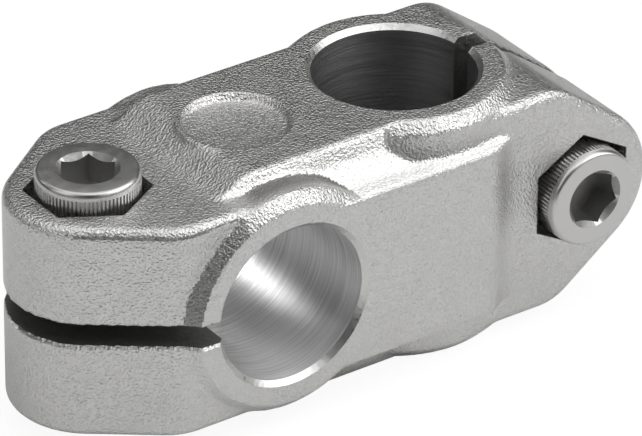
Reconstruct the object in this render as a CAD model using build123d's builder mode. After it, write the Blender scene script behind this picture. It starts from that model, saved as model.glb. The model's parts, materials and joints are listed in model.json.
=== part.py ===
from build123d import *
from math import radians, sqrt, tan
import os

# Tube connector: one casting with two split clamps set square to each other, each closed by a
# cap screw and a nut. X runs along the casting, Z is up, and the origin is midway between the bores.
# The level clamp is at -X: its bore lies along Y and its screw stands along Z, head up.
# The upright clamp is at +X: its bore stands along Z and its screw lies along Y, head to the front.

# Tubes and bores: the wall of a clamp ring, and the metal between the two bores
tube_diameter = 16.0
bore_rim_chamfer = 0.5
ring_wall = 3.6
neck_wall = 4.5

# Raised pads: their height above a ring's crest, and their edges
pad_rise = 1.4
ring_edge_chamfer = 1.15
bar_edge_radius = 0.4

# Neck bars, square to each other: the notch left between them, and the ramps at their rounded ends
notch_depth = 4.0
notch_bevel = 1.6
bar_end_radius = 4.0
bar_overrun = 2.65
ramp_length = 3.0
ramp_radius = 4.5

# Ears: their level and sides below the pads, and their outline round the screw
ear_drop = 1.8
ear_inset = 1.1
screw_wall = 6.35
pocket_wall = 2.7
shoulder_setback = 4.45
shoulder_radius = 5.5
ear_edge_radius = 1.0
slot_width = 2.2

# Round recess on the upper face, and the metal between it and the upright bore
recess_diameter = 10.8
recess_wall = 4.85
recess_depth = 0.7
recess_draft = 35.0

# Screws and nuts, M6
screw_diameter = 6.0
tip_inset = 0.3
tip_chamfer = 0.7
head_diameter = 10.0
head_height = 6.0
head_edge_chamfer = 0.4
head_proud = 0.3
socket_across_flats = 5.0
socket_depth = 3.0
socket_chamfer = 0.35
level_screw_turn = -5.0
upright_screw_turn = -18.0
nut_height = 5.0
nut_face_inset = 0.25
nut_chamfer_angle = 30.0

# Fits
screw_hole_clearance = 0.3
pocket_clearance = 0.3
nut_thread_clearance = 0.05

# Values that follow
bore_radius = tube_diameter / 2
bore_x = bore_radius + neck_wall / 2
ring_radius = bore_radius + ring_wall
pad_level = ring_radius + pad_rise
pad_span = 2 * pad_level
bar_width = pad_span - 2 * notch_depth
ear_level = pad_level - ear_drop
ear_side = pad_level - ear_inset
screw_x = bore_x + bore_radius + screw_wall
shoulder_x = screw_x - shoulder_setback
ramp_top_x = bore_x + bar_overrun
ramp_foot_x = ramp_top_x + ramp_length
bar_end_x = ramp_foot_x + ramp_radius / 2
recess_x = bore_x - bore_radius - recess_wall - recess_diameter / 2
seat_level = pad_level + head_proud - head_height
screw_length = seat_level + pad_level - tip_inset
nut_across_flats = head_diameter
nut_face_radius = nut_across_flats / 2 - nut_face_inset
nut_corner_radius = nut_across_flats / sqrt(3)
nut_chamfer_rise = (nut_corner_radius - nut_face_radius) * tan(radians(nut_chamfer_angle))
pocket_flat_radius = nut_across_flats / 2 + pocket_clearance
ear_end_radius = pocket_flat_radius + pocket_wall

# The upright clamp is the level clamp turned half a turn, so that X, Y and Z become -X, -Z and -Y.
here = Location()
partner = Location(Plane(origin=(0, 0, 0), x_dir=(-1, 0, 0), z_dir=(0, -1, 0)))

# A clamp ring across the whole casting
with BuildPart() as ring:
    with Locations((-bore_x, 0, 0)):
        Cylinder(ring_radius, pad_span, rotation=(90, 0, 0))
    chamfer(ring.edges().filter_by(GeomType.CIRCLE), ring_edge_chamfer)

# The ears of the level clamp, still as one block
with BuildPart() as ears:
    with BuildSketch():
        with BuildLine():
            CenterArc((-screw_x, 0), ear_end_radius, 0, 360)
            CenterArc((-shoulder_x, ear_side - shoulder_radius), shoulder_radius, 0, 360)
            CenterArc((-shoulder_x, shoulder_radius - ear_side), shoulder_radius, 0, 360)
            Line((-bore_x, -ear_side), (-bore_x, ear_side))
        make_hull()
    extrude(amount=ear_level, both=True)
    levels = ears.edges().group_by(Axis.Z)
    rims = (levels[0] + levels[-1]).filter_by(lambda e: (e @ 0.5).X < -bore_x - ear_edge_radius)
    fillet(rims, ear_edge_radius)

# The end of a neck bar, which runs down in ramps to the level of the ears
with BuildPart() as bar_end:
    with BuildSketch() as bar_plan:
        with Locations((-bore_x, 0)):
            Rectangle(bar_end_x - bore_x, bar_width, align=(Align.MAX, Align.CENTER))
        fillet(bar_plan.vertices().group_by(Axis.X)[0], bar_end_radius)
    extrude(amount=pad_level, both=True)
    levels = bar_end.edges().group_by(Axis.Z)
    rims = (levels[0] + levels[-1]).filter_by(lambda e: (e @ 0.5).X < -bore_x)
    fillet(rims, bar_edge_radius)
    with BuildSketch(Plane.XZ) as ramp_profile:
        with BuildLine():
            Polyline((-bore_x, pad_level), (-ramp_top_x, pad_level), (-ramp_foot_x, ear_level),
                     (-shoulder_x, ear_level), (-shoulder_x, pad_span), (-bore_x, pad_span), close=True)
        make_face()
        bends = ramp_profile.vertices().filter_by_position(Axis.X, -ramp_foot_x, -ramp_top_x)
        fillet(bends, ramp_radius)
        mirror(about=Plane.XZ)
    extrude(amount=pad_level, both=True, mode=Mode.SUBTRACT)

# What one clamp loses to its bore, its slot, its screw and the hexagon pockets for the head and the nut
with BuildPart() as clamp_cuts:
    with BuildSketch():
        with Locations((-screw_x, 0)):
            RegularPolygon(pocket_flat_radius, 6, major_radius=False, rotation=90)
    extrude(amount=pad_level, both=True)
    with Locations((-screw_x, 0, 0)):
        Box(pad_level, pad_level, 2 * seat_level, mode=Mode.SUBTRACT)
        Cylinder(screw_diameter / 2 + screw_hole_clearance, pad_span)
    with Locations((-bore_x, 0, 0)):
        Box(pad_span, pad_span, slot_width, align=(Align.MAX, Align.CENTER, Align.CENTER))
        Cylinder(bore_radius, pad_span, rotation=(90, 0, 0))
    with Locations((-bore_x, pad_level, 0)):
        Cone(bore_radius, bore_radius + bore_rim_chamfer, bore_rim_chamfer, rotation=(-90, 0, 0),
             align=(Align.CENTER, Align.CENTER, Align.MAX))
    with Locations((-bore_x, -pad_level, 0)):
        Cone(bore_radius, bore_radius + bore_rim_chamfer, bore_rim_chamfer, rotation=(90, 0, 0),
             align=(Align.CENTER, Align.CENTER, Align.MAX))

with BuildPart() as casting:
    with BuildSketch(Plane.YZ) as neck_section:
        Rectangle(bar_width, pad_span)
        Rectangle(pad_span, bar_width)
        chamfer(neck_section.vertices().sort_by_distance((0, 0))[:4], notch_bevel)
        fillet(neck_section.vertices().sort_by_distance((0, 0))[-8:], bar_edge_radius)
    extrude(amount=bore_x, both=True)
    with Locations(here, partner):
        add(bar_end.part)
        add(ring.part)
        add(ears.part)

    # Recess in the upper face
    with BuildSketch(Plane.XY.offset(pad_level)):
        with Locations((recess_x, 0)):
            Circle(recess_diameter / 2)
    extrude(amount=-recess_depth, taper=recess_draft, mode=Mode.SUBTRACT)

    with Locations(here, partner):
        add(clamp_cuts.part, mode=Mode.SUBTRACT)

# A cap screw on the Z axis, its head resting on the XY plane
with BuildPart() as screw:
    with Locations((0, 0, -screw_length)):
        Cylinder(screw_diameter / 2, screw_length, align=(Align.CENTER, Align.CENTER, Align.MIN))
    chamfer(screw.edges().group_by(Axis.Z)[0], tip_chamfer)
    Cylinder(head_diameter / 2, head_height, align=(Align.CENTER, Align.CENTER, Align.MIN))
    chamfer(screw.edges().group_by(Axis.Z)[-1], head_edge_chamfer)
    with BuildSketch(Plane.XY.offset(head_height)):
        RegularPolygon(socket_across_flats / 2, 6, major_radius=False)
    extrude(amount=-socket_depth, mode=Mode.SUBTRACT)
    with Locations((0, 0, head_height)):
        Cone(socket_across_flats / 2, socket_across_flats / 2 + socket_chamfer, socket_chamfer,
             align=(Align.CENTER, Align.CENTER, Align.MAX), mode=Mode.SUBTRACT)

# A nut on the Z axis, its upper face on the XY plane
with BuildPart() as nut:
    with BuildSketch():
        RegularPolygon(nut_across_flats / 2, 6, major_radius=False, rotation=90)
    extrude(amount=-nut_height)
    with BuildSketch(Plane.XZ):
        with BuildLine():
            Polyline((0, 0), (nut_face_radius, 0), (nut_corner_radius, -nut_chamfer_rise),
                     (nut_corner_radius, nut_chamfer_rise - nut_height),
                     (nut_face_radius, -nut_height), (0, -nut_height), close=True)
        make_face()
    revolve(axis=Axis.Z, mode=Mode.INTERSECT)
    Cylinder(screw_diameter / 2 + nut_thread_clearance, 2 * nut_height, mode=Mode.SUBTRACT)

with BuildPart() as level_screw:
    with Locations(Location((-screw_x, 0, seat_level), (0, 0, level_screw_turn))):
        add(screw.part)

with BuildPart() as level_nut:
    with Locations((-screw_x, 0, -seat_level)):
        add(nut.part)

with BuildPart() as upright_screw:
    with Locations(partner * Location((-screw_x, 0, seat_level), (0, 0, upright_screw_turn))):
        add(screw.part)

with BuildPart() as upright_nut:
    with Locations(partner * Location((-screw_x, 0, -seat_level))):
        add(nut.part)

casting.part.label = "connector_body"
level_screw.part.label = "level_clamp_screw"
level_nut.part.label = "level_clamp_nut"
upright_screw.part.label = "upright_clamp_screw"
upright_nut.part.label = "upright_clamp_nut"

os.makedirs("parts", exist_ok=True)
export_step(casting.part, "parts/connector_body.step")
export_step(level_screw.part, "parts/level_clamp_screw.step")
export_step(level_nut.part, "parts/level_clamp_nut.step")
export_step(upright_screw.part, "parts/upright_clamp_screw.step")
export_step(upright_nut.part, "parts/upright_clamp_nut.step")
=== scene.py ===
import bmesh
import bpy
import json
import math
from mathutils import Matrix, Vector


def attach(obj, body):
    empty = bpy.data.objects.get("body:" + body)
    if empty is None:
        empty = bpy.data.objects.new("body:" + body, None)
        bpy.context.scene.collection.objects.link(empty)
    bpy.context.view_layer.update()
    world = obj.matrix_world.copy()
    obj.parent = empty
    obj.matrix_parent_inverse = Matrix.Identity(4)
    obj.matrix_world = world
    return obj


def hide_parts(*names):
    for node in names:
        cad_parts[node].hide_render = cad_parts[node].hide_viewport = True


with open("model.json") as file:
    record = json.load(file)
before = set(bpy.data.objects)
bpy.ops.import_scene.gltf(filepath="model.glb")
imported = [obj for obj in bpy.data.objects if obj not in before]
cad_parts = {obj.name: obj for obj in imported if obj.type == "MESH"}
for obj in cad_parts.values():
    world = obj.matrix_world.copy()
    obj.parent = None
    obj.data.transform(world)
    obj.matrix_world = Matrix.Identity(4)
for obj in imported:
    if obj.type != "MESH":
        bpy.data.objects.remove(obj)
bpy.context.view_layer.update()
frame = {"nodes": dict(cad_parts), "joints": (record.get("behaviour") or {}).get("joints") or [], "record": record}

# The casting: one piece of stainless steel, investment cast, then shot-blasted matt all over.
# Its edges are soft and its skin is grainy. The bores are turned after casting, and the hexagon
# pockets, the holes and the mouths of the slots are cut clean.
MM = 0.001
mounts = {mount["name"]: mount for mount in frame["record"]["mounts"]}
joints = {joint["name"]: joint for joint in frame["joints"]}

# Distances from the middle planes of the casting, the same for both clamps
BORE_X = mounts["upright_bore"]["pos_m"][0]
SCREW_X = joints["upright_screw_turn"]["pos_m"][0]
PAD = -mounts["bottom_face"]["pos_m"][2]  # the raised faces of the rings and of the neck bars
EAR = 11.2 * MM  # the faces of the ears
BAR = 9.0 * MM  # the sides of the neck bars
BAR_END = 18.3 * MM  # where the neck bars end
SEAT = 7.3 * MM  # the floors of the hexagon pockets
SLOT_HALF = 1.1 * MM

# Sizes round the axes of the bores and of the screws
BORE_R = mounts["upright_bore"]["dims"]["r_mm"] * MM
RING_R = BORE_R + 3.6 * MM
RIM = 0.5 * MM  # the chamfer round a bore's mouth
POCKET_FLAT = 5.3 * MM  # half the width of a hexagon pocket, across its flats
HOLE_R = 3.3 * MM

# The round recess in the upper face, from its mouth to its narrower floor
RECESS_X = -8.0 * MM
RECESS_R = 5.28 * MM
RECESS_FOOT = 4.91 * MM
RECESS_DEPTH = 0.7 * MM
RECESS_ROUNDING = 0.12 * MM

# The cells of the skin, how far a tool reaches past what it fills or cuts, and when two points are one
SKIN_CELL = 0.275 * MM
SPARE = 0.5 * MM
CLEAN_SLOT = 2.6 * MM
CLEAN_SLOT_PLAY = 0.03 * MM
BORE_STEPS, HOLE_STEPS = 160, 48
MERGE, TOUCH = 1e-7, 1e-8

# The upright clamp is the level clamp after this half turn.
here = Matrix.Identity(4)
partner = Matrix(((-1, 0, 0, 0), (0, 0, -1, 0), (0, -1, 0, 0), (0, 0, 0, 1)))
across = Matrix.Rotation(math.pi / 2, 4, "X")


def as_object(name, shape, place=here):
    """A bmesh in its place, its doubles merged and its faces pointing outwards, as an object."""
    shape.transform(place)
    bmesh.ops.remove_doubles(shape, verts=shape.verts, dist=MERGE)
    bmesh.ops.recalc_face_normals(shape, faces=shape.faces)
    mesh = bpy.data.meshes.new(name)
    shape.to_mesh(mesh)
    shape.free()
    obj = bpy.data.objects.new(name, mesh)
    bpy.context.scene.collection.objects.link(obj)
    return obj


def settle(obj):
    """The mesh as its modifiers leave it takes the place of the mesh before them."""
    bpy.context.view_layer.update()
    depsgraph = bpy.context.evaluated_depsgraph_get()
    mesh = bpy.data.meshes.new_from_object(obj.evaluated_get(depsgraph))
    obj.modifiers.clear()
    obj.data = mesh


def combine(obj, operation, *others):
    """Cuts, joins or intersects an object with each of the others, which are then gone."""
    for other in others:
        step = obj.modifiers.new("step", "BOOLEAN")
        step.operation, step.solver, step.object = operation, "MANIFOLD", other
    settle(obj)
    for other in others:
        bpy.data.objects.remove(other)


def turned(points, steps):
    """A solid turned about Z from a profile of (radius, height) that starts and ends on the axis."""
    shape = bmesh.new()
    verts = [shape.verts.new((radius, 0, height)) for radius, height in points]
    edges = [shape.edges.new(pair) for pair in zip(verts, verts[1:])]
    bmesh.ops.spin(shape, geom=verts + edges, cent=(0, 0, 0), axis=(0, 0, 1),
                   angle=2 * math.pi, steps=steps, use_merge=True)
    bmesh.ops.remove_doubles(shape, verts=shape.verts, dist=TOUCH)
    return shape


def prism(name, sides, flat, low, high, place=here):
    """A prism along the Z axis of its place, whose sides are as far from that axis as flat says.
    One of its corners is towards the Y axis."""
    shape = bmesh.new()
    corner = flat / math.cos(math.pi / sides)
    centre = Matrix.Translation((0, 0, (low + high) / 2))
    bmesh.ops.create_cone(shape, cap_ends=True, segments=sides, radius1=corner, radius2=corner,
                          depth=high - low, matrix=place @ centre)
    return as_object(name, shape)


def clamp_tools(place, spare):
    """What is cut from a clamp once it is cast: its bore, its two pockets and its screw hole.
    With some spare they are larger, and plug the ones that the solid has."""
    end = PAD if spare else PAD + SPARE
    flare = BORE_R + RIM + spare
    bore = [(0, -end), (flare + end - PAD, -end), (flare, -PAD), (BORE_R + spare, RIM + spare - PAD),
            (BORE_R + spare, PAD - RIM - spare), (flare, PAD), (flare + end - PAD, end), (0, end)]
    on_bore = place @ Matrix.Translation((-BORE_X, 0, 0)) @ across
    tools = [as_object("bore_tool", turned(bore, BORE_STEPS), on_bore)]
    for side in (1, -1):
        on_screw = place @ Matrix.Diagonal((1, 1, side, 1)) @ Matrix.Translation((-SCREW_X, 0, 0))
        pocket_top = EAR if spare else PAD + SPARE
        hole_foot = SLOT_HALF if spare else 0
        tools += [prism("pocket_tool", 6, POCKET_FLAT + spare, SEAT - spare, pocket_top, on_screw),
                  prism("hole_tool", HOLE_STEPS, HOLE_R + spare, hole_foot, SEAT + SPARE, on_screw)]
    return tools


def slot_tool(place):
    """What is cut clean from a slot, beside its bore."""
    mouth = bmesh.new()
    size = Matrix.Diagonal((CLEAN_SLOT, 2 * PAD + SPARE, 2 * SLOT_HALF + CLEAN_SLOT_PLAY, 1))
    bmesh.ops.create_cube(mouth, size=1, matrix=place @ Matrix.Translation((-BORE_X - BORE_R, 0, 0)) @ size)
    return as_object("slot_tool", mouth)


def recess_tool(spare):
    """The round recess in the upper face, with its lip and its foot slightly rounded.
    With some spare it is a plug that fills the one that the solid has."""
    floor = PAD - RECESS_DEPTH
    soft = RECESS_ROUNDING
    if spare:
        points = [(0, floor - spare), (RECESS_R + spare, floor - spare), (RECESS_R + spare, PAD), (0, PAD)]
    else:
        points = [(0, floor), (RECESS_FOOT - 2 * soft, floor), (RECESS_FOOT - 0.5 * soft, floor + 0.3 * soft),
                  (RECESS_FOOT + 0.3 * soft, floor + soft), (RECESS_R - 0.7 * soft, PAD - soft),
                  (RECESS_R, PAD - 0.3 * soft), (RECESS_R + soft, PAD), (RECESS_R + soft, PAD + SPARE),
                  (0, PAD + SPARE)]
    return as_object("recess_tool", turned(points, BORE_STEPS), Matrix.Translation((RECESS_X, 0, 0)))


def shade_smooth(obj, degrees):
    """Shades an object smooth, with a hard edge where its faces meet at more than that angle."""
    obj.data.shade_smooth()
    obj.data.set_sharp_from_angle(angle=math.radians(degrees))


# The solid is plugged, made into an even skin, softened and cut again.
blank = bmesh.new()
blank.from_mesh(frame["nodes"]["connector_body"].data)
casting = as_object("casting_skin", blank)
combine(casting, "UNION", recess_tool(SPARE), *clamp_tools(here, SPARE), *clamp_tools(partner, SPARE))

cells = casting.modifiers.new("cells", "REMESH")
cells.mode, cells.voxel_size, cells.use_smooth_shade = "VOXEL", SKIN_CELL, True
settle(casting)

skin = bmesh.new()
skin.from_mesh(casting.data)
bmesh.ops.smooth_vert(skin, verts=skin.verts, factor=0.5, use_axis_x=True, use_axis_y=True, use_axis_z=True)
skin.to_mesh(casting.data)
skin.free()

combine(casting, "DIFFERENCE", slot_tool(here), slot_tool(partner), recess_tool(0),
        *clamp_tools(here, 0), *clamp_tools(partner, 0))
shade_smooth(casting, 38)

# Where the finish of the casting changes or painted shade and highlight lie on it, and how near to its solid the
# softened skin lies
NEAR, SLOT_SKIN = 0.15 * MM, 0.06 * MM
RIM_START = 0.1 * MM
NOTCH_FROM, NOTCH_BEVEL = 5.4 * MM, 1.8 * MM
BAR_LOW, BAR_HIGH, PAD_LOW = 0.1 * MM, 0.25 * MM, 0.3 * MM
CREASE_END, CREASE_WIDTH, CREASE_DEPTH = 15.5 * MM, 2.9 * MM, 1.0 * MM
CREASE_FADE, CREASE_DARK = 3.0 * MM, 1.5 * MM
LIP_WIDTH = 0.3 * MM
SLOPE_WIDTH, SLOPE_DEPTH, SLOPE_FROM = 1.2 * MM, 1.25 * MM, 5.0 * MM
SHADE_FROM, SHADE_TO, SHADE_HIGH = 19.0 * MM, 30.0 * MM, 1.2 * MM


def in_notch(x, y, z, normal):
    """Whether a face lies on the sides or on the bevel of a notch between the two neck bars."""
    low, high = sorted((abs(y), abs(z)))
    steep = (abs(normal.z) if abs(z) > abs(y) else abs(normal.y)) < 0.8
    between = abs(x) < BAR_END and NOTCH_FROM < low and BAR - BAR_LOW < high < PAD - PAD_LOW
    return steep and between and (low < BAR + BAR_HIGH or low + high < 2 * BAR + NOTCH_BEVEL)


def in_shade(x, y, z, normal):
    """Whether a face lies under the front rim of the level ear, or on the sloped edge of its ring, where shade is
    painted.
    """
    front, up = -normal.y, normal.z
    under_rim = front > 0.5 and 0.1 < up < 0.42 and SHADE_FROM < -x < SHADE_TO and z > EAR - SHADE_HIGH
    on_slope = (math.hypot(x + BORE_X, z) > RING_R - SLOPE_WIDTH and y < SLOPE_DEPTH - PAD
                and 0.35 < front < 0.93)
    return under_rim or (on_slope and x < -BORE_X - SLOPE_FROM and z > SLOT_HALF)


def steel_of(face):
    """The name of the steel that a face of the casting shows."""
    x, y, z = face.center
    from_level = math.hypot(x + BORE_X, z)
    from_upright = math.hypot(x - BORE_X, y)
    from_bore = min(from_level, from_upright)
    in_level = from_level < BORE_R + RIM and abs(y) <= PAD
    in_upright = from_upright < BORE_R + RIM and abs(z) <= PAD
    across_slot = abs(z) if x < 0 else abs(y)
    if (in_level or in_upright) and from_bore > BORE_R + RIM_START:
        return "rim_steel"
    if in_level:
        return "turned_bore_level"
    if in_upright:
        return "turned_bore_upright"
    if abs(x) > BORE_X + BORE_R / 2 and abs(across_slot - SLOT_HALF) < SLOT_SKIN:
        return "slot_shade_steel"
    if z > 0 and from_bore >= RING_R + NEAR and in_notch(x, y, z, face.normal):
        return "drafted_steel"
    beside_bar = -CREASE_END < x < 0 and BAR < abs(y) < BAR + CREASE_WIDTH
    if beside_bar and BAR - CREASE_DEPTH < abs(z) < RING_R + NEAR:
        return "crease_shade_steel"
    if x < -BORE_X - BORE_R and 0 < -z - SLOT_HALF < LIP_WIDTH and abs(face.normal.z) < 0.5:
        return "lip_highlight_steel"
    if in_shade(x, y, z, face.normal):
        return "painted_shade_steel"
    return "blasted_steel"


def surface(material):
    """The inputs of a material's own shader."""
    return material.node_tree.nodes["Principled BSDF"].inputs


def feed(material, socket, value):
    """Gives a socket a value, or links it to the output of another node."""
    if isinstance(value, bpy.types.NodeSocket):
        material.node_tree.links.new(value, socket)
    else:
        socket.default_value = value


def add_node(material, kind, inputs, operation=None):
    """A shader node of that kind and operation, with a value or a link for its inputs."""
    node = material.node_tree.nodes.new("ShaderNode" + kind)
    if operation:
        node.operation = operation
    for socket, value in inputs.items():
        feed(material, node.inputs[socket], value)
    return node


def new_steel(name):
    """A metal, and the coordinates of its own object, which its patterns follow."""
    steel = bpy.data.materials.new(name)
    steel.use_nodes = True
    surface(steel)["Metallic"].default_value = 1
    return steel, add_node(steel, "TexCoord", {}).outputs["Object"]


def noise(steel, place, size, detail, stretch=(1, 1, 1)):
    """Noise whose features are about that size, stretched along the axes."""
    scaled = add_node(steel, "Mapping", {"Vector": place, "Scale": [1 / (size * part) for part in stretch]})
    grain = add_node(steel, "TexNoise", {"Vector": scaled.outputs["Vector"], "Scale": 1, "Detail": detail})
    return grain.outputs["Fac"]


def spread(steel, value, low, high, start=0.3, stop=0.7):
    """Turns a value between start and stop into one between low and high."""
    mapped = add_node(steel, "MapRange", {"Value": value, "From Min": start, "From Max": stop,
                                          "To Min": low, "To Max": high})
    return mapped.outputs["Result"]


def tint(steel, value, dark, light):
    """The base colour runs from dark to light with a value from 0 to 1."""
    mix = add_node(steel, "Mix", {})
    mix.data_type = "RGBA"
    for socket, part in (("Factor", value), ("A", (*dark, 1)), ("B", (*light, 1))):
        feed(steel, mix.inputs[socket], part)
    feed(steel, surface(steel)["Base Color"], mix.outputs["Result"])


def polish(steel, value, smooth, rough):
    """The roughness runs from smooth to rough with a noise value."""
    feed(steel, surface(steel)["Roughness"], spread(steel, value, smooth, rough))


def bump(steel, height, depth, under=None):
    """Relief of that depth, on top of any relief under it."""
    relief = add_node(steel, "Bump", {"Height": height, "Strength": 1, "Distance": depth})
    if under:
        feed(steel, relief.inputs["Normal"], under)
    feed(steel, surface(steel)["Normal"], relief.outputs["Normal"])
    return relief.outputs["Normal"]


PEBBLE, WAVE, STAIN = 0.24 * MM, 1.6 * MM, 5 * MM
BLASTED_DARK, BLASTED_LIGHT = (0.66, 0.655, 0.645), (0.76, 0.755, 0.745)
PEBBLE_RELIEF, WAVE_RELIEF, WORN_EDGE = 0.15 * MM, 0.05 * MM, 0.2 * MM
LINE, SCRATCH, LINE_STRETCH = 0.12 * MM, 0.2 * MM, 40


def blasted_steel(name, lean=0, relief=PEBBLE_RELIEF, shade=1):
    """Shot-blasted steel. Where it leans, its sides turn outwards by that slope, as cast with a draft. A shade
    below 1 darkens its colour as painted shade, and one above 1 lightens it as a painted highlight.
    """
    steel, place = new_steel(name)
    pebbles = noise(steel, place, PEBBLE, 1)
    dark, light = [[shade * part for part in colour] for colour in (BLASTED_DARK, BLASTED_LIGHT)]
    tint(steel, spread(steel, pebbles, 0, 1, 0.25, 0.75), dark, light)
    polish(steel, noise(steel, place, STAIN, 4), 0.28, 0.38)
    edges = add_node(steel, "Bevel", {"Radius": WORN_EDGE})
    deep = bump(steel, noise(steel, place, WAVE, 1), WAVE_RELIEF, edges.outputs["Normal"])
    if lean:
        outwards = add_node(steel, "VectorMath", {0: place}, "ABSOLUTE").outputs["Vector"]
        height = add_node(steel, "VectorMath", {0: outwards, 1: (0, -lean, -lean)}, "DOT_PRODUCT")
        deep = bump(steel, height.outputs["Value"], 1, deep)
    bump(steel, pebbles, relief, deep)
    return steel


def turned_steel(name, axis, grey):
    """Steel turned about that axis, with the lines and scratches that the tool leaves. Its grey is painted light
    or painted shade, lighter or darker for each bore.
    """
    steel, place = new_steel(name)
    stretch = [1 if part else LINE_STRETCH for part in axis]
    surface(steel)["Anisotropic"].default_value = 0.7
    tangent = add_node(steel, "CombineXYZ", dict(zip("XYZ", axis)))
    feed(steel, surface(steel)["Tangent"], tangent.outputs["Vector"])
    lines = noise(steel, place, LINE, 3, stretch)
    polish(steel, lines, 0.42, 0.6)
    bump(steel, lines, 0.02 * MM)
    scratches = noise(steel, place, SCRATCH, 4, stretch)
    tint(steel, spread(steel, scratches, 0, 1), [0.78 * grey] * 3, [1.12 * grey] * 3)
    return steel


def marked_steel(name, colour, size, detail, relief, smooth, rough):
    """Steel of one colour with small marks of that size and relief, rougher in some than in others."""
    steel, place = new_steel(name)
    surface(steel)["Base Color"].default_value = (*colour, 1)
    marks = noise(steel, place, size, detail)
    polish(steel, marks, smooth, rough)
    bump(steel, marks, relief)
    return steel


def crease_shade_steel():
    """Blasted steel with painted shade, dark deep in the crease between a ring and a neck bar."""
    steel, place = new_steel("crease_shade_steel")
    surface(steel)["Roughness"].default_value = 0.4
    outwards = add_node(steel, "VectorMath", {0: place}, "ABSOLUTE").outputs["Vector"]
    parts = add_node(steel, "SeparateXYZ", {"Vector": outwards}).outputs
    along = spread(steel, parts["X"], 0, 1, CREASE_END - CREASE_FADE, CREASE_END)
    aside = spread(steel, parts["Y"], 0, 1, BAR + CREASE_DARK, BAR + CREASE_WIDTH)
    # clean is 1 wherever the steel is free of the painted shade, which is darkest where both factors are 0.
    clean = add_node(steel, "Math", {0: along, 1: aside}, "MAXIMUM")
    tint(steel, clean.outputs["Value"], (0.28, 0.277, 0.27), (0.71, 0.705, 0.695))
    bump(steel, noise(steel, place, PEBBLE, 1), PEBBLE_RELIEF)
    return steel


steels = [
    blasted_steel("blasted_steel"),
    # Both bores are the same turned steel: the level bore's lighter grey is painted light, and the upright bore's
    # darker grey is painted shade.
    turned_steel("turned_bore_level", (0, 1, 0), 0.82),
    turned_steel("turned_bore_upright", (0, 0, 1), 0.29),
    # The slot's faces are rougher and marked as cut; their dark grey is painted shade deep in the slot.
    marked_steel("slot_shade_steel", (0.27, 0.266, 0.26), size=0.5 * MM, detail=2, relief=0.06 * MM,
                 smooth=0.4, rough=0.6),
    blasted_steel("drafted_steel", lean=0.53, relief=0.1 * MM),
    # Painted shade, dark deep in the crease beside each neck bar.
    crease_shade_steel(),
    marked_steel("rim_steel", (0.74, 0.735, 0.725), size=0.4 * MM, detail=3, relief=0.03 * MM,
                 smooth=0.26, rough=0.42),
    # The lower lip of the slot: a bump turns its edge, and its lighter colour is a painted highlight.
    blasted_steel("lip_highlight_steel", lean=-0.8, shade=1.2),
    # Painted shade: a darker colour under the front rim of the level ear and on the sloped edge of its ring.
    blasted_steel("painted_shade_steel", relief=0.2 * MM, shade=0.45),
]
casting.data.materials.clear()
for steel in steels:
    casting.data.materials.append(steel)
order = {steel.name: index for index, steel in enumerate(steels)}
casting.data.polygons.foreach_set("material_index", [order[steel_of(face)] for face in casting.data.polygons])

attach(casting, "casting")
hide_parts("connector_body")

# The two M6 cap screws: cold-formed stainless steel, with a knurled head, a hexagon socket and a
# rolled thread. Each stands in a pocket and draws the two jaws of its clamp together.
LEVEL_TURN, UPRIGHT_TURN = math.radians(-5), math.radians(-18)
HEAD_R, HEAD_H, HEAD_FOOT = 5.0 * MM, 6.0 * MM, 0.25 * MM
CROWN_WIDTH, CROWN_HEIGHT = 0.45 * MM, 0.7 * MM
CROWN_ANGLES = (0, 18, 36, 54, 66, 78, 90)
KNURLS, KNURL_DEPTH = 80, 0.15 * MM
KNURL_LOW, KNURL_HIGH = 0.45 * MM, 5.2 * MM
KNURL_RUN_IN, KNURL_RUN_OUT = 0.15 * MM, 0.2 * MM
SOCKET_FLAT, SOCKET_DEPTH, SOCKET_MOUTH = 2.5 * MM, 3.0 * MM, 3.05 * MM
SHANK, TIP = 20.0 * MM, 0.7 * MM
SHANK_TOP, THREAD_TOP = 0.4 * MM, 0.5 * MM  # both end inside the head
PITCH, THREAD_R, THREAD_DEPTH = 1.0 * MM, 2.98 * MM, 0.58 * MM
THREAD_STEPS, TURNED_STEPS = 36, 96
MARGIN, HAIR = 0.1 * MM, 0.01 * MM


def threaded_rod(name, low, high, radius, depth):
    """A rod along the Z axis with a right-hand thread."""
    rod = bmesh.new()
    turns = math.ceil((high - low) / PITCH) + 2
    start = math.floor(low / PITCH - 1) * PITCH
    root = radius - depth
    outline = [(root, 0), (root, 0.25), (radius, 0.5625), (radius, 0.6875), (root, 1)]
    verts = [rod.verts.new((out, 0, start + share * PITCH)) for out, share in outline]
    edges = [rod.edges.new(pair) for pair in zip(verts, verts[1:])]
    bmesh.ops.spin(rod, geom=verts + edges, cent=(0, 0, 0), axis=(0, 0, 1), dvec=(0, 0, PITCH / THREAD_STEPS),
                   angle=2 * math.pi * turns, steps=THREAD_STEPS * turns, use_merge=False)
    bmesh.ops.remove_doubles(rod, verts=rod.verts, dist=MERGE)
    for height, outwards in ((low, -1), (high, 1)):
        cut = bmesh.ops.bisect_plane(rod, geom=rod.verts[:] + rod.edges[:] + rod.faces[:], dist=TOUCH,
                                     plane_co=(0, 0, height), plane_no=(0, 0, outwards), clear_outer=True)
        rim = [edge for edge in cut["geom_cut"] if isinstance(edge, bmesh.types.BMEdge)]
        bmesh.ops.edgeloop_fill(rod, edges=rim)
    return as_object(name, rod)


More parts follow.
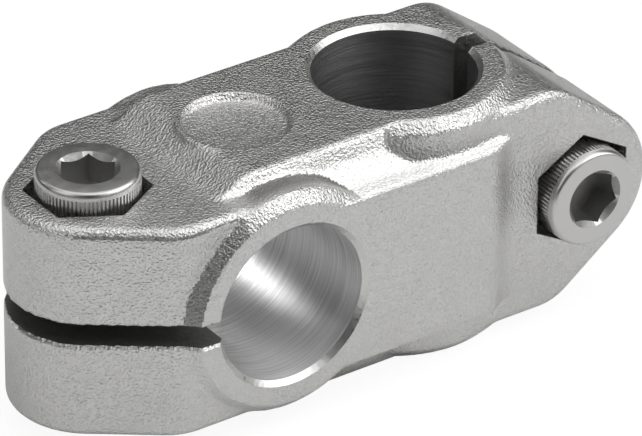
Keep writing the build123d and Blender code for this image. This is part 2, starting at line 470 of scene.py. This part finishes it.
def bright_steel(name, place):
    """Smooth, slightly glossy steel with fine rings turned about the Z axis of that place."""
    steel, coordinates = new_steel(name)
    surface(steel)["Base Color"].default_value = (0.66, 0.655, 0.64, 1)
    turn = place.inverted()
    centred = add_node(steel, "Mapping", {"Vector": coordinates, "Location": turn.translation,
                                          "Rotation": turn.to_euler("XYZ")})
    flat = add_node(steel, "VectorMath", {0: centred.outputs["Vector"], 1: (1, 1, 0)}, "MULTIPLY")
    radius = add_node(steel, "VectorMath", {0: flat.outputs["Vector"]}, "LENGTH")
    rings = noise(steel, radius.outputs["Value"], 0.16 * MM, 2)
    marks = noise(steel, coordinates, 0.9 * MM, 1)
    polish(steel, marks, 0.28, 0.36)
    under = bump(steel, rings, 0.01 * MM)
    bump(steel, marks, 0.002 * MM, under)
    return steel


def finish_steel(piece, place, body, node):
    """Puts a steel piece in its place and in the place of its CAD node."""
    piece.data.transform(place)
    shade_smooth(piece, 32)
    piece.data.materials.clear()
    piece.data.materials.append(bright_steel(piece.name + "_steel", place))
    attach(piece, body)
    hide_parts(node)


def knurled_head():
    """A screw head that stands on the XY plane, with a rounded crown and grooves down its side."""
    crown = [(HEAD_R - CROWN_WIDTH * (1 - math.cos(angle)), HEAD_H - CROWN_HEIGHT * (1 - math.sin(angle)))
             for angle in map(math.radians, CROWN_ANGLES)]
    side = [(HEAD_R, KNURL_LOW), (HEAD_R, KNURL_LOW + KNURL_RUN_IN),
            (HEAD_R, KNURL_HIGH - KNURL_RUN_OUT), (HEAD_R, KNURL_HIGH)]
    profile = [(0, 0), (HEAD_R - HEAD_FOOT, 0), (HEAD_R, HEAD_FOOT), *side, *crown, (0, HEAD_H)]
    head = turned(profile, 4 * KNURLS)
    grooves = [vert for vert in head.verts if KNURL_LOW + HAIR < vert.co.z < KNURL_HIGH - HAIR
               and round(math.atan2(vert.co.y, vert.co.x) / (2 * math.pi) * 4 * KNURLS) % 4 == 0]
    share = 1 - KNURL_DEPTH / HEAD_R
    bmesh.ops.scale(head, vec=(share, share, 1), verts=grooves)
    return head


def in_socket(face):
    """Whether a face of a screw lies in its socket or on the cone at the socket's mouth."""
    x, y, z = face.center
    low, high = HEAD_H - SOCKET_DEPTH - MARGIN, HEAD_H - MARGIN
    return math.hypot(x, y) < SOCKET_MOUTH + MARGIN / 2 and low < z < high


def cap_screw(name, place, body, node):
    """A cap screw with its head's bearing face on the XY plane, put in its place."""
    screw = as_object(name, knurled_head())
    sixth = Matrix.Rotation(math.pi / 6, 4, "Z")
    hexagon = prism("socket_tool", 6, SOCKET_FLAT, HEAD_H - SOCKET_DEPTH, HEAD_H + SOCKET_DEPTH, sixth)
    mouth = turned([(0, HEAD_H - SOCKET_MOUTH), (SOCKET_MOUTH + MM, HEAD_H + MM), (0, HEAD_H + MM)],
                   TURNED_STEPS)
    combine(screw, "DIFFERENCE", hexagon, as_object("mouth_tool", mouth))

    thread = threaded_rod("thread_tool", -SHANK, THREAD_TOP, THREAD_R, THREAD_DEPTH)
    sleeve = turned([(0, -SHANK), (THREAD_R - TIP, -SHANK), (THREAD_R + MARGIN, TIP + MARGIN - SHANK),
                     (THREAD_R + MARGIN, SHANK_TOP), (0, SHANK_TOP)], TURNED_STEPS)
    combine(thread, "INTERSECT", as_object("sleeve_tool", sleeve))
    combine(screw, "UNION", thread)
    regions = [int(in_socket(face)) for face in screw.data.polygons]
    finish_steel(screw, place, body, node)
    # The socket and its mouth have rougher marks; their darker grey is painted shade deep in the socket.
    socket_shade_steel = marked_steel(name + "_socket", (0.36, 0.357, 0.35), size=0.5 * MM, detail=2,
                                relief=0.03 * MM, smooth=0.42, rough=0.6)
    screw.data.materials.append(socket_shade_steel)
    screw.data.polygons.foreach_set("material_index", regions)


on_level = Matrix.Translation((-SCREW_X, 0, SEAT))
on_upright = partner @ on_level
level_turned = on_level @ Matrix.Rotation(LEVEL_TURN, 4, "Z")
upright_turned = on_upright @ Matrix.Rotation(UPRIGHT_TURN, 4, "Z")
cap_screw("level_clamp_detail", level_turned, "level_screw", "level_clamp_screw")
cap_screw("upright_clamp_detail", upright_turned, "upright_screw", "upright_clamp_screw")

# The two M6 nuts: plain hexagon nuts of stainless steel, pressed, chamfered on both faces and
# tapped. Each lies in the pocket at the far side of its clamp, which keeps it from turning.
NUT_H, NUT_FLAT = 5.0 * MM, 5.0 * MM
NUT_TOP = -2 * SEAT
NUT_FOOT = NUT_TOP - NUT_H
NUT_FACE_R, NUT_CORNER_R, NUT_CHAMFER = 4.75 * MM, 5.8 * MM, math.radians(30)
TAP_R, TAP_DEPTH, TAP_MOUTH = 3.05 * MM, 0.56 * MM, 3.3 * MM
TAP_OVERRUN, CONE_OVERRUN = 0.5 * MM, 0.2 * MM


def hexagon_nut(name, place, turn, body, node):
    """A nut on the screw's axis, its thread in step with the screw's after that turn."""
    nut = prism(name, 6, NUT_FLAT, NUT_FOOT, NUT_TOP)
    slope = (NUT_CORNER_R - NUT_FACE_R) * math.tan(NUT_CHAMFER)
    low, high = NUT_FOOT - HAIR, NUT_TOP + HAIR
    rounded = turned([(0, low), (NUT_FACE_R, low), (NUT_CORNER_R, NUT_FOOT + slope),
                      (NUT_CORNER_R, NUT_TOP - slope), (NUT_FACE_R, high), (0, high)], TURNED_STEPS)
    combine(nut, "INTERSECT", as_object("rounded_tool", rounded))

    tap = threaded_rod("tap_tool", NUT_FOOT - TAP_OVERRUN, NUT_TOP + TAP_OVERRUN, TAP_R, TAP_DEPTH)
    tap.data.transform(Matrix.Rotation(turn, 4, "Z"))
    cones = []
    for side, face in ((-1, NUT_FOOT), (1, NUT_TOP)):
        cone = turned([(0, face - side * TAP_MOUTH), (TAP_MOUTH + CONE_OVERRUN, face + side * CONE_OVERRUN),
                       (0, face + side * CONE_OVERRUN)], TURNED_STEPS)
        cones.append(as_object("cone_tool", cone))
    combine(nut, "DIFFERENCE", tap, *cones)
    finish_steel(nut, place, body, node)


hexagon_nut("level_nut_detail", on_level, LEVEL_TURN, "level_nut", "level_clamp_nut")
hexagon_nut("upright_nut_detail", on_upright, UPRIGHT_TURN, "upright_nut", "upright_clamp_nut")

# A plain studio: a floor of white paper, a dark wall and grey cloth screens that the camera sees only
# in the steel, three soft boxes above, and a small one behind the level bore.
FLOOR_SIZE = 1.2
FLOOR_GAP = 0.02 * MM
FLOOR_SHARE, FLOOR_WHITE = 0.85, 1.08
WALL_R = 0.9
WALL_FACET = 6


def matt(name, grey):
    """A matt material of one grey."""
    material = bpy.data.materials.new(name)
    material.use_nodes = True
    surface(material)["Base Color"].default_value = (grey, grey, grey, 1)
    surface(material)["Roughness"].default_value = 0.9
    return material


ground = bmesh.new()
bmesh.ops.create_grid(ground, x_segments=1, y_segments=1, size=FLOOR_SIZE,
                      matrix=Matrix.Translation((0, 0, -PAD - FLOOR_GAP)))
floor = as_object("floor", ground)
paper = matt("white_paper", 0.88)
rays = add_node(paper, "LightPath", {})
share = add_node(paper, "Math", {0: rays.outputs["Is Camera Ray"], 1: FLOOR_SHARE}, "MULTIPLY")
white = add_node(paper, "Emission", {"Strength": FLOOR_WHITE})
mix = add_node(paper, "MixShader", {"Fac": share.outputs["Value"],
                                    1: paper.node_tree.nodes["Principled BSDF"].outputs["BSDF"],
                                    2: white.outputs["Emission"]})
feed(paper, paper.node_tree.nodes["Material Output"].inputs["Surface"], mix.outputs["Shader"])
floor.data.materials.append(paper)

world = bpy.data.worlds.new("studio")
bpy.context.scene.world = world
world.use_nodes = True
background = world.node_tree.nodes["Background"]
background.inputs["Color"].default_value = (1, 1, 1, 1)
background.inputs["Strength"].default_value = 1


def screen(name, low, high, centre, width, grey):
    """An upright curved screen of cloth. Its edges are given in degrees, up and round from +Y."""
    shape = bmesh.new()
    start = math.radians(centre - width / 2)
    foot, top = [shape.verts.new((WALL_R * math.sin(start), WALL_R * math.cos(start),
                                  WALL_R * math.tan(math.radians(height)))) for height in (low, high)]
    edge = shape.edges.new((foot, top))
    bmesh.ops.spin(shape, geom=[foot, top, edge], cent=(0, 0, 0), axis=(0, 0, -1), angle=math.radians(width),
                   steps=int(width / WALL_FACET), use_merge=width == 360)
    cloth = as_object(name, shape)
    cloth.data.materials.append(matt(name, grey))
    cloth.visible_camera = False
    cloth.visible_shadow = False


screen("low_wall", -0.8, 18, 0, 360, 0.03)
screen("back_screen", 18, 47, 35, 130, 0.17)
screen("corner_screen", 18, 58, -42, 50, 0.12)
screen("front_screen", 18, 53, -147, 68, 0.012)


def lamp(name, place, aim, size, power, spread_angle=180):
    """A square soft box that looks at a point, with a grid that keeps its light within an angle."""
    data = bpy.data.lights.new(name, "AREA")
    data.shape, data.size, data.energy = "SQUARE", size, power
    data.spread = math.radians(spread_angle)
    box = bpy.data.objects.new(name, data)
    box.location = place
    box.rotation_mode = "QUATERNION"
    box.rotation_quaternion = (Vector(aim) - Vector(place)).to_track_quat("-Z", "Y")
    bpy.context.scene.collection.objects.link(box)


lamp("key_light", (0.31, -0.25, 0.33), (0, 0, 0), 0.48, 0.84)
lamp("top_light", (-0.05, -0.27, 0.53), (0, 0, 0), 0.12, 0.08)
lamp("back_light", (-0.3, 0.42, 0.31), (0, 0, 0), 0.12, 0.1)
lamp("bore_light", (-0.0227, 0.0305, 0.0128), (-0.0102, 0.013, 0), 0.012, 0.00022, 30)

# The camera: how far round and down it looks, how far it is rolled, its aim and its distance
YAW, PITCH_DOWN, ROLL = math.radians(-35.453), math.radians(30.673), math.radians(0.541)
CAMERA_AIM, CAMERA_DISTANCE = Vector((1.886 * MM, 0, -0.982 * MM)), 598.5 * MM
back = Vector((math.sin(YAW) * math.cos(PITCH_DOWN), -math.cos(YAW) * math.cos(PITCH_DOWN),
               math.sin(PITCH_DOWN)))
right = Vector((math.cos(YAW), math.sin(YAW), 0))
up = back.cross(right)
tilted_right = math.cos(ROLL) * right + math.sin(ROLL) * up
tilted_up = math.cos(ROLL) * up - math.sin(ROLL) * right
lens = bpy.data.cameras.new("camera")
lens.lens, lens.sensor_width = 351.3, 36
lens.clip_start, lens.clip_end = 0.05, 5
camera = bpy.data.objects.new("camera", lens)
turn = Matrix((tilted_right, tilted_up, back)).transposed().to_4x4()
camera.matrix_world = Matrix.Translation(CAMERA_AIM + back * CAMERA_DISTANCE) @ turn
bpy.context.scene.collection.objects.link(camera)
bpy.context.scene.camera = camera
bpy.context.scene.view_settings.view_transform = "Standard"
